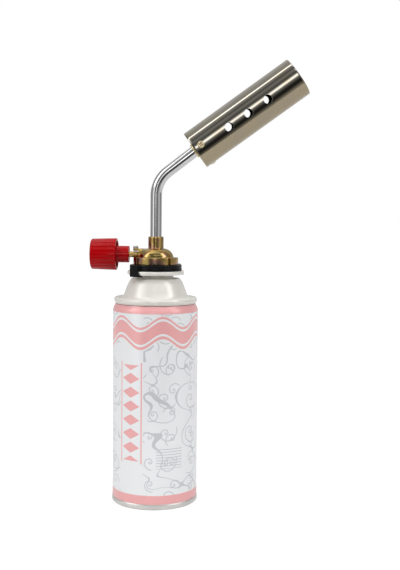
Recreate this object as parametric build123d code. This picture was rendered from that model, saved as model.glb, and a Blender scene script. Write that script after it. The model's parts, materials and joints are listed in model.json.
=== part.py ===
from build123d import *
import math
import os

# Cartridge blowtorch: a pierceless gas cartridge with a screw-valve torch head locked on its bayonet collar.
# Frame: origin at the centre of the cartridge's base ring, +Z up, burner towards +X, knob towards -X. Millimetres.

# ---- cartridge ----
CAN_R = 33.0
SHEET = 0.5
SHEET_STEP = 0.38
BASE_RING_OUTER_R = 32.4
BASE_RING_INNER_R = 31.0
BASE_SEAM_R = 33.3
BASE_SEAM_TOP = 4.4
BASE_DOME_Z = 9.0
WALL_TOP = 154.2
GROOVE_R = 31.1
GROOVE_Z = 153.7
SEAM_R = 32.15
SEAM_TOP = 159.25
SEAM_BOTTOM = 155.2
SHOULDER_FOOT_R = 28.3
SHOULDER_FOOT_Z = 157.9
SHOULDER_TOP_R = 19.0
SHOULDER_TOP_Z = 173.2
NECK_R = 13.8
NECK_TOP = 178.5

# ---- bayonet collar and cartridge valve ----
COLLAR_R = 22.45
COLLAR_TOP = 179.4
COLLAR_RIM = 2.8
COLLAR_SHEET = 0.8
NOTCH_WIDTH = 11.0
NOTCH_FLOOR_R = 20.1
CUP_R = 12.9
CUP_FLOOR = 171.0
PEDESTAL_R = 5.4
PEDESTAL_TOP = 177.4
HOUSING_R = 4.4
HOUSING_BOTTOM = 158.0
STEM_R = 1.6
STEM_TOP = 178.7
STEM_FLANGE_R = 3.0
VAPOUR_TUBE_R = 1.5

# ---- torch head: base and valve ----
BASE_R = 20.2
BASE_BOTTOM = 179.6
BASE_TOP = 184.2
CLAW_AZIMUTH = 229.5
CLAW_TWIST = 45.0
CLAW_INNER_R = 22.75
CLAW_OUTER_R = 24.1
CLAW_BOTTOM = 175.2
LIP_INNER_R = 20.7
LIP_TOP = 176.25
SCREW_PCD_R = 13.2
SKIRT_R = 17.4
SKIRT_TOP = 189.7
DOME_R = 13.75
DOME_TOP_R = 7.0
DOME_TOP = 196.5
BOSS_R = 5.95
BOSS_TOP = 205.7
SOCKET_FLOOR = 198.0
VALVE_Z = 191.8
VALVE_NECK_R = 4.6
VALVE_NECK_END = -13.4
SPINDLE_R = 1.95
SPINDLE_GRIP_R = 2.32
GLAND_R = 3.5
ORING_PLACE = 7.5
ORING_GROOVE_R = 1.5
RUNNING_GAP = 0.05
STOP_SCREW_X = -15.6

# ---- knob ----
KNOB_INNER_X = -30.2
KNOB_OUTER_X = -50.1
KNOB_CROWN = 0.4
KNOB_EDGE_FILLET = 1.4
KNOB_INNER_R = 12.3
KNOB_OUTER_R = 11.9
KNOB_HUB_R = 6.45
KNOB_HUB_X = -20.6
KNOB_FLUTES = 20

# ---- gas tube and burner ----
TUBE_R = 4.4
TUBE_BORE_R = 3.4
TUBE_ANGLE = 37.7
BURNER_ANGLE = 35.9
BURNER_X = 29.9
BURNER_Z = 271.7
BEND_R = 23.0
BURNER_R = 15.5
BURNER_SHEET = 0.8
BURNER_REAR_SHEET = 1.05
BURNER_STEP_S = 24.0
BURNER_LENGTH = 95.65
AIR_HOLE_R = 3.35
AIR_HOLES = (30.9, 48.5, 66.1)
AIR_HOLE_ROLL = 6.5
BURNER_SCREW_S = 6.1
HUB_R = 5.7
HUB_START = -1.2
HUB_END = 11.0
SPOKE_ANGLES = (-90.0, 30.0, 150.0)
RETAINER_S = 19.0
RETAINER_R = 12.5

BURNER_FRAME = Location((BURNER_X, 0, BURNER_Z)) * Rotation(0, 90 - BURNER_ANGLE, 0)
VALVE_FRAME = Location((0, 0, VALVE_Z)) * Rotation(0, -90, 0)


def turned(points):
    """A solid of revolution about Z from the closed outline of (radius, height) points."""
    outline = make_face(Polyline(*[(r, 0, z) for r, z in points], close=True))
    return revolve(outline, Axis.Z)


def sheet_metal(line, thickness, side=Side.LEFT):
    """A thin turned shell: an open line in the XZ plane thickened to one side and revolved about Z."""
    return revolve(make_face(offset(line, amount=thickness, side=side, closed=True)), Axis.Z)


def rod(radius, low, high):
    """A cylinder on Z between two heights."""
    return Pos(0, 0, low) * Cylinder(radius, high - low, align=(Align.CENTER, Align.CENTER, Align.MIN))


def ring(inner, outer, low, high):
    """A plain ring on Z between two heights."""
    return rod(outer, low, high) - rod(inner, low - 1, high + 1)


def pan_head_screw(head_r, head_h, shank_r, shank_length):
    """A cross-recessed screw standing on Z, head up, the head's seat at height 0."""
    head = rod(head_r, 0, head_h)
    head = fillet(head.edges().group_by(Axis.Z)[-1], head_h * 0.45)
    for angle in (45, 135):
        head -= Rot(0, 0, angle) * Pos(0, 0, head_h) * Box(1.3 * head_r, 0.26 * head_r, head_h)
    return head + rod(shank_r, -shank_length, 0)


# ---- cartridge ----

def cartridge_wall():
    line = Polyline((CAN_R - SHEET, 0, BASE_SEAM_TOP), (CAN_R - SHEET, 0, 148.5),
                    (CAN_R - SHEET - 0.5, 0, 151.3), (GROOVE_R - SHEET, 0, GROOVE_Z),
                    (GROOVE_R - SHEET, 0, WALL_TOP))
    return sheet_metal(line, SHEET, Side.RIGHT)


def cartridge_base():
    outline = [(BASE_RING_INNER_R, 0), (BASE_RING_OUTER_R, 0), (BASE_SEAM_R, 1.0), (BASE_SEAM_R, 3.4),
               (BASE_SEAM_R - 0.4, BASE_SEAM_TOP), (BASE_RING_INNER_R - 0.6, BASE_SEAM_TOP),
               (27.0, 6.6), (18.0, 8.6), (0, BASE_DOME_Z + SHEET), (0, BASE_DOME_Z), (18.0, 8.1), (26.7, 6.0),
               (BASE_RING_INNER_R - 1.0, 3.4)]
    return turned(outline)


def cartridge_shoulder():
    bell_points = [(SHOULDER_TOP_R, SHOULDER_TOP_Z), (21.1, 169.9), (22.9, 165.4), (24.3, 161.7),
                   (25.7, 159.3), (SHOULDER_FOOT_R, SHOULDER_FOOT_Z)]
    outer = Spline(*[(r, 0, z) for r, z in bell_points], tangents=[(0.7, 0, -0.6), (1, 0, 0)])
    inner = Pos(-SHEET_STEP, 0, -SHEET_STEP) * outer
    bead_inner = SEAM_R - 1.0
    seam_points = [(SHOULDER_FOOT_R, SHOULDER_FOOT_Z), (29.3, 158.6), (30.5, SEAM_TOP), (31.8, 158.5), (SEAM_R, 157.0),
                   (31.9, 155.8), (bead_inner + 0.05, SEAM_BOTTOM)]
    seam = Spline(*[(r, 0, z) for r, z in seam_points], tangents=[(1, 0, 0), (-1, 0, -0.4)])
    seam_foot = Polyline(seam @ 1, (bead_inner, 0, 154.6), (bead_inner, 0, 156.6), inner @ 1)
    neck_inner = NECK_R - SHEET_STEP
    neck = Polyline(inner @ 0, (17.0, 0, 173.3), (neck_inner + 0.8, 0, 173.5), (neck_inner, 0, 174.4),
                    (neck_inner, 0, NECK_TOP), (NECK_R, 0, NECK_TOP), (NECK_R, 0, 174.9),
                    (NECK_R + 0.8, 0, 174.0), (17.2, 0, 173.7), outer @ 0)
    outline = Wire([*outer.edges(), *seam.edges(), *seam_foot.edges(), *inner.edges(), *neck.edges()])
    return revolve(make_face(outline), Axis.Z)


def bayonet_collar():
    rim_bottom = COLLAR_TOP - COLLAR_RIM
    inner = COLLAR_R - COLLAR_SHEET
    plate = COLLAR_TOP - COLLAR_SHEET
    shape = turned([(NECK_R + 0.05, COLLAR_TOP), (COLLAR_R - 0.6, COLLAR_TOP), (COLLAR_R, COLLAR_TOP - 0.6),
                    (COLLAR_R, rim_bottom), (inner, rim_bottom), (inner, plate), (NECK_R + 0.05, plate)])
    for azimuth in (CLAW_AZIMUTH - CLAW_TWIST, CLAW_AZIMUTH - CLAW_TWIST + 180):
        notch = Pos(NOTCH_FLOOR_R + 5, 0, COLLAR_TOP) * Box(10, NOTCH_WIDTH, 12)
        shape -= Rot(0, 0, azimuth) * notch
    return shape


def valve_cup():
    floor = CUP_FLOOR
    return turned([(CUP_R, floor), (CUP_R, COLLAR_TOP - 0.4), (NECK_R - SHEET - 0.05, COLLAR_TOP - 0.4),
                   (NECK_R - SHEET - 0.05, floor - SHEET), (HOUSING_R + 0.05, floor - SHEET),
                   (HOUSING_R + 0.05, PEDESTAL_TOP - 0.6), (STEM_R + 0.4, PEDESTAL_TOP - 0.6),
                   (STEM_R + 0.4, PEDESTAL_TOP), (PEDESTAL_R - 0.4, PEDESTAL_TOP), (PEDESTAL_R, PEDESTAL_TOP - 0.4),
                   (PEDESTAL_R, floor)])


def stem_gasket():
    return ring(STEM_R + RUNNING_GAP, HOUSING_R, PEDESTAL_TOP - 2.2, PEDESTAL_TOP - 0.6)


def valve_housing():
    body = rod(HOUSING_R, HOUSING_BOTTOM, PEDESTAL_TOP - 2.2)
    body -= rod(STEM_FLANGE_R + 0.2, HOUSING_BOTTOM + 4, PEDESTAL_TOP)
    return body - rod(0.8, HOUSING_BOTTOM - 1, HOUSING_BOTTOM + 5)


def valve_stem():
    flange_top = PEDESTAL_TOP - 2.7
    stem = rod(STEM_R, flange_top, STEM_TOP) + rod(STEM_FLANGE_R, flange_top - 1.6, flange_top)
    stem += rod(1.2, flange_top - 4.5, flange_top - 1.6)
    return stem - rod(0.6, flange_top + 1, STEM_TOP + 1)


def stem_spring():
    low = HOUSING_BOTTOM + 4.4
    high = PEDESTAL_TOP - 4.8
    coil_r = 2.2
    wire_r = 0.3
    path = Helix(pitch=(high - low) / 6, height=high - low, radius=coil_r)
    section = Plane(origin=path @ 0, z_dir=path % 0) * Circle(wire_r)
    return Pos(0, 0, low) * sweep(section, path)


def vapour_tube():
    top = HOUSING_BOTTOM
    route = FilletPolyline((0, 0, top), (0, 0, top - 9), (0, 22, top - 9), (0, 22, top - 2), radius=4.5)
    section = Plane(origin=route @ 0, z_dir=route % 0) * (Circle(VAPOUR_TUBE_R) - Circle(VAPOUR_TUBE_R - 0.5))
    return sweep(section, route)


# ---- torch head ----

def bayonet_base():
    disc = turned([(6.4, BASE_BOTTOM), (BASE_R, BASE_BOTTOM), (BASE_R, 181.5), (BASE_R - 0.5, 181.8),
                   (BASE_R - 0.5, 182.2), (BASE_R, 182.5), (BASE_R, BASE_TOP - 1.0), (BASE_R - 0.3, BASE_TOP - 0.3),
                   (BASE_R - 1.0, BASE_TOP), (6.4, BASE_TOP)])
    arm_ring = ring(CLAW_INNER_R, CLAW_OUTER_R, CLAW_BOTTOM, BASE_TOP)
    tab_ring = ring(BASE_R - 1.5, CLAW_OUTER_R, BASE_BOTTOM, BASE_TOP)
    lip_ring = ring(LIP_INNER_R, CLAW_OUTER_R, CLAW_BOTTOM, LIP_TOP)
    outline = Polyline((-4.1, CLAW_BOTTOM), (-4.1, BASE_TOP), (4.1, BASE_TOP), (4.1, BASE_BOTTOM),
                       (6.4, CLAW_BOTTOM), close=True)
    side_view = Plane(origin=(12, 0, 0), x_dir=(0, 1, 0), z_dir=(1, 0, 0)) * make_face(outline)
    window = extrude(side_view, amount=20)
    shape = disc
    for azimuth in (CLAW_AZIMUTH, CLAW_AZIMUTH + 180):
        shape += (arm_ring + tab_ring + lip_ring) & (Rot(0, 0, azimuth) * window)
    for azimuth in (0, 180):
        hole = rod(1.6, BASE_BOTTOM - 1, BASE_TOP + 1) + rod(3.0, BASE_BOTTOM - 1, BASE_BOTTOM + 2.3)
        shape -= Rot(0, 0, azimuth) * Pos(SCREW_PCD_R, 0, 0) * hole
    return shape


def base_screws():
    screw = Rot(180, 0, 0) * pan_head_screw(2.75, 1.8, 1.5, 6.0)
    seat = BASE_BOTTOM + 2.3
    return [Rot(0, 0, azimuth) * Pos(SCREW_PCD_R, 0, seat) * screw for azimuth in (0, 180)]


def inlet_nozzle():
    body = rod(2.5, 178.9, 182.2) + rod(6.0, 182.2, BASE_TOP) + rod(3.5, BASE_TOP, 188.0)
    return body - rod(0.9, 178, 189)


def inlet_seal():
    return ring(2.55, 5.2, 177.6, 182.2)


def inlet_filter():
    return rod(2.35, 188.05, 189.2)


def valve_body():
    skirt = rod(SKIRT_R, BASE_TOP, SKIRT_TOP)
    slots = [Rot(0, 0, 42 + 90 * k) * Pos(SKIRT_R, 0, SKIRT_TOP) * Box(7, 2.0, 12) for k in range(4)]
    skirt -= slots
    arc = ThreePointArc((DOME_R, 0, SKIRT_TOP + 0.2), (11.5, 0, 194.3), (DOME_TOP_R, 0, DOME_TOP))
    rest = Polyline((DOME_TOP_R, 0, DOME_TOP), (0, 0, DOME_TOP), (0, 0, SKIRT_TOP - 1),
                    (DOME_R, 0, SKIRT_TOP - 1), (DOME_R, 0, SKIRT_TOP + 0.2))
    dome = revolve(make_face(Wire([*arc.edges(), *rest.edges()])), Axis.Z)
    boss = turned([(0, DOME_TOP - 2), (BOSS_R, DOME_TOP - 2), (BOSS_R, BOSS_TOP - 0.5), (BOSS_R - 0.5, BOSS_TOP),
                   (0, BOSS_TOP)])
    neck = VALVE_FRAME * rod(VALVE_NECK_R, 0, -VALVE_NECK_END)
    lug = Pos(-14.7, 0, 195.42) * Box(5.4, 4.6, 1.74)
    shape = skirt + dome + boss + neck + lug
    shape -= rod(TUBE_R + RUNNING_GAP, SOCKET_FLOOR, BOSS_TOP + 1)
    shape -= rod(3.55, BASE_TOP - 1, 188.05) + rod(2.4, 188, 189.25) + rod(0.9, 189, VALVE_Z)
    shape -= VALVE_FRAME * (rod(0.75, -0.3, 3) + rod(2.2, 2.5, 9.1) + rod(GLAND_R + RUNNING_GAP, 9, 14))
    shape -= Pos(-3.4, 0, 0) * rod(1.0, VALVE_Z, SOCKET_FLOOR + 1) & rod(TUBE_BORE_R + 1, 180, 210)
    for azimuth in (0, 180):
        shape -= Rot(0, 0, azimuth) * Pos(SCREW_PCD_R, 0, 0) * rod(1.55, BASE_TOP - 1, 188.0)
    shape -= Pos(STOP_SCREW_X, 0, 0) * rod(1.1, 193, 197)
    shape -= VALVE_FRAME * rod(SPINDLE_GRIP_R + 0.35, 13.5, 18)
    return shape


def gland_nut():
    return VALVE_FRAME * ring(SPINDLE_R + RUNNING_GAP, GLAND_R, 9.15, 13.6)


def stop_screw():
    return Pos(STOP_SCREW_X, 0, 196.3) * pan_head_screw(2.05, 2.1, 1.05, 1.8)


def valve_spindle():
    profile = [(0, 1.9), (0.5, 1.9), (1.25, 4.0), (SPINDLE_R, 4.3), (SPINDLE_R, ORING_PLACE - 0.6),
               (ORING_GROOVE_R, ORING_PLACE - 0.4), (ORING_GROOVE_R, ORING_PLACE + 0.4),
               (SPINDLE_R, ORING_PLACE + 0.6), (SPINDLE_R, 13.9), (SPINDLE_GRIP_R, 14.3), (SPINDLE_GRIP_R, 44.0),
               (1.3, 44.0), (1.3, 36.0), (0, 36.0)]
    return VALVE_FRAME * turned(profile)


def spindle_oring():
    return VALVE_FRAME * (Pos(0, 0, ORING_PLACE) * Torus(1.85, 0.28))


def knob():
    inner = -KNOB_INNER_X
    outer = -KNOB_OUTER_X
    hub = -KNOB_HUB_X
    edge = KNOB_EDGE_FILLET
    corner = 0.7 * edge
    face_r = KNOB_OUTER_R - 0.1 - edge
    crown = ThreePointArc((face_r, 0, outer), (face_r / 2, 0, outer + KNOB_CROWN * 0.75), (0, 0, outer + KNOB_CROWN))
    round_edge = ThreePointArc((face_r + edge, 0, outer - edge), (face_r + corner, 0, outer - edge + corner),
                               (face_r, 0, outer))
    rest = Polyline((0, 0, outer + KNOB_CROWN), (0, 0, hub), (KNOB_HUB_R - 0.3, 0, hub), (KNOB_HUB_R, 0, hub + 0.3),
                    (KNOB_HUB_R, 0, inner + 9.0), (KNOB_INNER_R - 2.0, 0, inner + 9.0),
                    (KNOB_INNER_R - 1.7, 0, inner), (KNOB_INNER_R, 0, inner), (face_r + edge, 0, outer - edge))
    shape = revolve(make_face(Wire([*rest.edges(), *round_edge.edges(), *crown.edges()])), Axis.Z)
    for k in range(KNOB_FLUTES):
        flute = Pos(KNOB_INNER_R + 0.75, 0, 0) * rod(1.25, inner - 1, outer + 2)
        shape -= Rot(0, 0, (k + 0.5) * 360 / KNOB_FLUTES) * flute
    shape -= rod(SPINDLE_GRIP_R + 0.03, hub - 1, 44.1) + rod(1.4, 44, outer + 3)
    shape -= rod(3.1, outer - 1.0, outer + 3)
    return VALVE_FRAME * shape


def knob_screw():
    screw = pan_head_screw(2.7, 1.7, 1.25, 10.0)
    return VALVE_FRAME * (Pos(0, 0, -KNOB_OUTER_X - 1.0) * screw)


def gas_tube():
    rise = BURNER_Z - BURNER_X * math.tan(math.radians(TUBE_ANGLE))
    reach = 9.0
    tip = (BURNER_X + reach * math.cos(math.radians(BURNER_ANGLE)), 0,
           BURNER_Z + reach * math.sin(math.radians(BURNER_ANGLE)))
    route = FilletPolyline((0, 0, SOCKET_FLOOR + 0.1), (0, 0, rise), (BURNER_X, 0, BURNER_Z), tip,
                           radius=[BEND_R, 60.0])
    section = Plane(origin=route @ 0, z_dir=route % 0) * (Circle(TUBE_R) - Circle(TUBE_BORE_R))
    return sweep(section, route)


# ---- burner, in its own frame: Z along the burner from its rear edge ----

def burner_tube():
    inner = BURNER_R - BURNER_SHEET
    rear = BURNER_R - BURNER_REAR_SHEET
    shape = turned([(rear, 0.2), (rear + 0.2, 0), (BURNER_R - 0.2, 0), (BURNER_R, 0.2),
                    (BURNER_R, BURNER_LENGTH - 0.2), (BURNER_R - 0.2, BURNER_LENGTH),
                    (inner + 0.2, BURNER_LENGTH), (inner, BURNER_LENGTH - 0.2), (inner, BURNER_STEP_S),
                    (rear, BURNER_STEP_S)])
    for s in AIR_HOLES:
        drill = Rot(0, 0, AIR_HOLE_ROLL) * Pos(0, 0, s) * Rot(90, 0, 0) * Cylinder(AIR_HOLE_R, 3 * BURNER_R)
        shape -= drill
    for angle in SPOKE_ANGLES:
        shape -= Rot(0, 0, angle) * Pos(BURNER_R, 0, BURNER_SCREW_S) * Rot(0, 90, 0) * Cylinder(1.55, 6)
    return BURNER_FRAME * shape


def burner_holder():
    inner = BURNER_R - BURNER_REAR_SHEET - 0.05
    spokes_low = 2.6
    spokes_high = 9.6
    hub = rod(HUB_R, HUB_START, HUB_END)
    spoke = Pos(inner / 2, 0, (spokes_low + spokes_high) / 2) * Box(inner, 5.0, spokes_high - spokes_low)
    for angle in SPOKE_ANGLES:
        hub += (Rot(0, 0, angle) * spoke) & rod(inner, 0, HUB_END)
    hub -= rod(TUBE_R + 0.15, HUB_START - 1, 9.2) + rod(3.6, 9, HUB_END + 1)
    for angle in SPOKE_ANGLES:
        hub -= Rot(0, 0, angle) * Pos(12.0, 0, BURNER_SCREW_S) * Rot(0, 90, 0) * Cylinder(1.25, 8.0)
    return BURNER_FRAME * hub


def burner_screws():
    screw = Rot(0, 90, 0) * pan_head_screw(2.7, 1.5, 1.2, 6.6)
    return [BURNER_FRAME * (Rot(0, 0, angle) * Pos(BURNER_R, 0, BURNER_SCREW_S) * screw) for angle in SPOKE_ANGLES]


def jet_holder():
    shape = rod(3.55, 9.2, HUB_END + 0.05) + rod(5.2, HUB_END + 0.05, 15.0) + rod(4.0, 15.0, RETAINER_S + 1.6)
    return BURNER_FRAME * (shape - rod(1.4, 8, 17.0) - rod(2.0, 16.9, 22))


def gas_jet():
    shape = rod(1.95, 17.0, 21.0) + turned([(0, 21.0), (2.6, 21.0), (2.6, 22.2), (1.0, 23.6), (0, 23.6)])
    return BURNER_FRAME * (shape - rod(0.8, 16, 22.6) - rod(0.2, 22, 24))


def flame_retainer():
    plate = rod(RETAINER_R, RETAINER_S, RETAINER_S + 1.2)
    rim = ring(RETAINER_R - 0.8, RETAINER_R, RETAINER_S, RETAINER_S + 4.0)
    shape = plate + rim - rod(4.05, RETAINER_S - 1, RETAINER_S + 2)
    for k in range(12):
        shape -= Rot(0, 0, 30 * k) * Pos(8.6, 0, 0) * rod(1.5, RETAINER_S - 1, RETAINER_S + 2)
    return BURNER_FRAME * shape


PARTS = [
    cartridge_wall, cartridge_base, cartridge_shoulder, bayonet_collar, valve_cup, stem_gasket, valve_housing,
    valve_stem, stem_spring, vapour_tube, bayonet_base, base_screws, inlet_nozzle, inlet_seal, inlet_filter,
    valve_body, gland_nut, stop_screw, valve_spindle, spindle_oring, knob, knob_screw, gas_tube, burner_tube,
    burner_holder, burner_screws, jet_holder, gas_jet, flame_retainer,
]

os.makedirs("parts", exist_ok=True)
for make in PARTS:
    shape = make()
    if isinstance(shape, list):
        shape = Compound(children=shape)
    export_step(shape, f"parts/{make.__name__}.step")
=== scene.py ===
"""Surfaces, finishes and studio for a cartridge blowtorch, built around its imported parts."""

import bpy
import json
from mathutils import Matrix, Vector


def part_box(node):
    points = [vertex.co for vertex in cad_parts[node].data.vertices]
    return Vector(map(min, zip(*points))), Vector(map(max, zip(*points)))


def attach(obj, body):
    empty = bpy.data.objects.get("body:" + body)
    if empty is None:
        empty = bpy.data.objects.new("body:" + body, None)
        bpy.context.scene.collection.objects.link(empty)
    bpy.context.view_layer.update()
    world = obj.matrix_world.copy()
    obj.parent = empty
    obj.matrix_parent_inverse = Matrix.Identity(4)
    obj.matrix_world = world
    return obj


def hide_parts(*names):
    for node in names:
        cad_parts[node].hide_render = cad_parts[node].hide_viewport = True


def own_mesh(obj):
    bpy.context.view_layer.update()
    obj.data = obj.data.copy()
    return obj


bl_info = {
    "name": "Cartridge Blowtorch",
    "version": (1, 0, 0),
    "blender": (4, 5, 0),
    "location": "3D Viewport > Sidebar > Torch",
    "description": "Builds the surfaces, finishes and studio of a cartridge blowtorch around its packed parts",
    "category": "Add Mesh",
}

import json
import math

import bmesh
import bpy
import numpy as np
from mathutils import Matrix, Vector

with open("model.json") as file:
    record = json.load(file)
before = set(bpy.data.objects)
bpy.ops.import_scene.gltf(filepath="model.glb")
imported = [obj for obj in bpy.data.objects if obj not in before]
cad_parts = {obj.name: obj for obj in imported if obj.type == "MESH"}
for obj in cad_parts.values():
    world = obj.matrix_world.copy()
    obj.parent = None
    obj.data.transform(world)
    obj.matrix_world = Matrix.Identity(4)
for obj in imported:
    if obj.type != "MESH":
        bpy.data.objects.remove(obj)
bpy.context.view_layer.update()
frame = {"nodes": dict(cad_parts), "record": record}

MM = 0.001
SHARP_ANGLE = math.radians(38)
SKIN_ALLOWANCE = 0.03 * MM   # how far the smooth burner stays inside the CAD's flat-sided one


# ---- places and sizes read from the frame ----

def mount(name):
    """Place and direction of one of the record's mounts."""
    found = next(m for m in frame["record"]["mounts"] if m["name"] == name)
    return np.array(found["pos_m"]), np.array(found["axis"]) / np.linalg.norm(found["axis"])


def measured(node, point, axis):
    """Lowest and highest place of a CAD node along an axis through a point, and its largest radius about it."""
    mesh = frame["nodes"][node].data
    co = np.zeros(len(mesh.vertices) * 3)
    mesh.vertices.foreach_get("co", co)
    offset = co.reshape(-1, 3) - point
    along = offset @ axis
    radial = np.linalg.norm(offset - along[:, None] * axis, axis=1)
    return along.min(), along.max(), radial.max()


BURNER_MIDDLE, BURNER_AXIS = mount("burner_mouth")
BURNER_REAR = BURNER_MIDDLE + BURNER_AXIS * measured("burner_tube", BURNER_MIDDLE, BURNER_AXIS)[0]
SPINDLE_LOW, SPINDLE_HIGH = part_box("valve_spindle")
VALVE_POINT = np.array([0.0, 0.0, (SPINDLE_LOW.z + SPINDLE_HIGH.z) / 2])
VALVE_AXIS = np.array([-1.0, 0.0, 0.0])


def axes_of(origin, axis):
    """A frame whose third axis lies along the given one and whose second stays on the row's +Y."""
    side = np.array([0.0, 1.0, 0.0])
    first = np.cross(side, axis)
    return origin, np.stack([first, side, axis])


BURNER = axes_of(BURNER_REAR, BURNER_AXIS)
VALVE = axes_of(VALVE_POINT, VALVE_AXIS)


# ---- surfaces ----

def rounded(corners, steps=5):
    """An outline through (radius, height, fillet) corners: each corner gives way to the arc that is tangent
    to both of its sides, sampled at equal steps of turn. Corners with no fillet stay sharp."""
    points = np.array([c[:2] for c in corners], float)
    count = len(points)
    pieces = []
    for k, (_, _, fillet) in enumerate(corners):
        here, before, after = points[k], points[k - 1], points[(k + 1) % count]
        if fillet <= 0:
            pieces.append(here[None])
            continue
        to_before = (before - here) / np.linalg.norm(before - here)
        to_after = (after - here) / np.linalg.norm(after - here)
        half = math.acos(float(np.clip(to_before @ to_after, -1, 1))) / 2
        middle = (to_before + to_after) / np.linalg.norm(to_before + to_after)
        centre = here + middle * fillet / math.sin(half)
        first = here + to_before * fillet / math.tan(half) - centre
        last = here + to_after * fillet / math.tan(half) - centre
        turn = math.pi - 2 * half
        share = np.linspace(0, 1, steps)[:, None]
        blend = np.sin((1 - share) * turn) * first + np.sin(share * turn) * last
        pieces.append(centre + blend / math.sin(turn))
    return np.concatenate(pieces)


def smooth_line(points, per_span=8):
    """A Catmull-Rom curve: on each span, the cubic that passes both ends with slopes set by their
    neighbours."""
    p = np.array(points, float)
    p = np.concatenate([2 * p[:1] - p[1:2], p, 2 * p[-1:] - p[-2:-1]])
    t = np.linspace(0, 1, per_span, endpoint=False)[None, :, None]
    a, b, c, d = p[:-3, None], p[1:-2, None], p[2:-1, None], p[3:, None]
    curve = 0.5 * (2 * b + (c - a) * t + (2 * a - 5 * b + 4 * c - d) * t ** 2
                   + (3 * b - a - 3 * c + d) * t ** 3)
    return np.concatenate([curve.reshape(-1, p.shape[1]), p[-2:-1]])


def divided(outline, longest):
    """The outline with its long straight sides cut into equal parts no longer than the given length."""
    ends = np.roll(outline, -1, axis=0)
    cuts = np.maximum(1, np.ceil(np.linalg.norm(ends - outline, axis=1) / longest)).astype(int)
    start = np.repeat(outline, cuts, axis=0)
    step = np.repeat((ends - outline) / cuts[:, None], cuts, axis=0)
    index = np.arange(cuts.sum()) - np.repeat(np.cumsum(cuts) - cuts, cuts)
    return start + step * index[:, None]


def lathe(outline, columns):
    """Rows of points: each (radius, height) of the outline turned about Z through the given angles."""
    angles = columns if hasattr(columns, "__len__") else np.arange(columns) * 2 * np.pi / columns
    radius, height = outline[:, 0][:, None], outline[:, 1][:, None]
    return np.stack([radius * np.cos(angles), radius * np.sin(angles), height + 0 * angles], axis=2)


def placed(points, place):
    """Points moved from a piece's own frame into the row's frame."""
    origin, axes = place
    return points @ axes + origin


def grid_object(name, points, closed_rows=True):
    """A mesh of quads between neighbouring points of a grid of rows and columns. The last column joins the
    first, and so does the last row if closed_rows is set. Points that meet at a pole are merged."""
    rows, columns = points.shape[:2]
    index = np.arange(rows * columns).reshape(rows, columns)
    nxt = np.roll(index, -1, axis=0) if closed_rows else index[1:]
    here = index if closed_rows else index[:-1]
    quads = np.stack([here, np.roll(here, -1, axis=1), np.roll(nxt, -1, axis=1), nxt], axis=2).reshape(-1, 4)
    mesh = bpy.data.meshes.new(name)
    mesh.vertices.add(rows * columns)
    mesh.vertices.foreach_set("co", points.reshape(-1).astype(np.float32))
    mesh.loops.add(quads.size)
    mesh.loops.foreach_set("vertex_index", quads.reshape(-1).astype(np.int32))
    mesh.polygons.add(len(quads))
    mesh.polygons.foreach_set("loop_start", (np.arange(len(quads)) * 4).astype(np.int32))
    mesh.update(calc_edges=True)
    mesh.validate()
    return finished(name, mesh)


def finished(name, mesh, merge=1e-7):
    """An object at the origin from a mesh: doubles merged, normals outwards, smooth but for sharp corners."""
    bm = bmesh.new()
    bm.from_mesh(mesh)
    bmesh.ops.remove_doubles(bm, verts=bm.verts, dist=merge)
    bmesh.ops.dissolve_degenerate(bm, edges=bm.edges, dist=merge)
    bmesh.ops.recalc_face_normals(bm, faces=bm.faces)
    bm.to_mesh(mesh)
    bm.free()
    mesh.shade_smooth()
    mesh.set_sharp_from_angle(angle=SHARP_ANGLE)
    piece = bpy.data.objects.new(name, mesh)
    bpy.context.scene.collection.objects.link(piece)
    return piece


def with_modifiers(piece):
    """The piece with its modifiers worked into its mesh."""
    bpy.context.view_layer.update()
    shaped = bpy.data.meshes.new_from_object(piece.evaluated_get(bpy.context.evaluated_depsgraph_get()))
    piece.modifiers.clear()
    old = piece.data
    piece.data = shaped
    bpy.data.meshes.remove(old)
    return piece


def drilled(piece, drill_points):
    """The piece with closed cutter surfaces taken out of it. Each cutter is a grid of rows that ends
    in poles."""
    cutters = [grid_object(f"drill_{k}", points, closed_rows=False) for k, points in enumerate(drill_points)]
    for cutter in cutters:
        cut = piece.modifiers.new(cutter.name, "BOOLEAN")
        cut.operation = "DIFFERENCE"
        cut.solver = "EXACT"
        cut.object = cutter
    with_modifiers(piece)
    for cutter in cutters:
        mesh = cutter.data
        bpy.data.objects.remove(cutter)
        bpy.data.meshes.remove(mesh)
    piece.data.shade_smooth()
    piece.data.set_sharp_from_angle(angle=SHARP_ANGLE)
    return piece


def cylinder_points(radius, low, high, place, columns=64):
    """A closed cylinder as a grid: a pole, two rings and a pole, in a piece's own frame."""
    outline = np.array([(0, low), (radius, low), (radius, high), (0, high)])
    return placed(lathe(outline, columns), place)


def cast_copy(name, node, voxel, passes):
    """A copy of a CAD node skinned afresh with small even quads, whose corners are then worn round by
    moving each point towards the middle of its neighbours, as in a casting or a moulding."""
    piece = finished(name, frame["nodes"][node].data.copy(), merge=2e-6)
    piece.data.materials.clear()
    skin = piece.modifiers.new("skin", "REMESH")
    skin.mode = "VOXEL"
    skin.voxel_size = voxel
    wear = piece.modifiers.new("wear", "SMOOTH")
    wear.factor = 0.5
    wear.iterations = passes
    with_modifiers(piece)
    piece.data.shade_smooth()
    return piece


def stands_for(piece, node, body, material):
    """Gives a new piece its body and material, and hides the CAD node that it stands for."""
    piece.data.materials.clear()
    piece.data.materials.append(material)
    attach(piece, body)
    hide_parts(node)
    return piece


# ---- shader building ----

def srgb(red, green, blue):
    """Scene-linear colour of an 8-bit display colour."""
    share = np.array([red, green, blue]) / 255
    return tuple(float(v) for v in np.where(share <= 0.04045, share / 12.92, ((share + 0.055) / 1.055) ** 2.4))


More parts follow.
